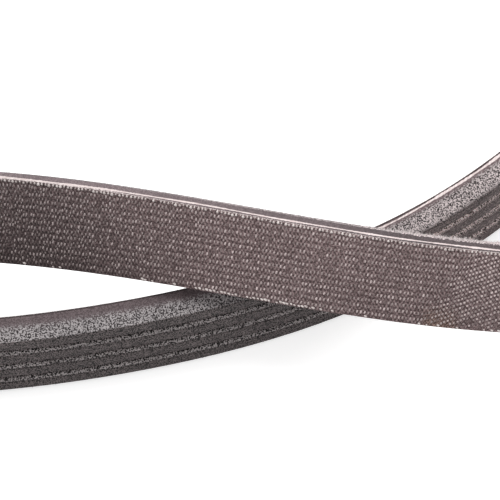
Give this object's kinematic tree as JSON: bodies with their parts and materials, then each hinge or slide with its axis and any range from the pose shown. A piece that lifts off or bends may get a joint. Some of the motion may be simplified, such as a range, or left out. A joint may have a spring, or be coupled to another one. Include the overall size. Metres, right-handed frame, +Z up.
{
  "type": "serpentine belt",
  "caption": "Endless ribbed rubber drive belt with a woven fabric back, lying on edge in a loose loop with one strand fallen over the other.",
  "frame": {"origin": "centre of the loop's outer box in plan, on the surface that the belt lies on", "axes": "+Z up, across the belt where it stands on edge; +X along the loop's length, from the small lobe to the large one; -Y towards the camera"},
  "size_m": [0.3736, 0.098, 0.0345],
  "materials": {
    "ribbed_rubber": "matt dark rubber compound with short fibres showing on the cut flanks of the ribs",
    "back_fabric": "rubberised plain-woven backing fabric, brown-grey with lighter thread crowns",
    "tensile_cord": "pale twisted polyester cord, cut open along the belt's edge"
  },
  "bodies": {
    "root": {"ribbed_belt": "ribbed_rubber"}
  },
  "joints": []
}
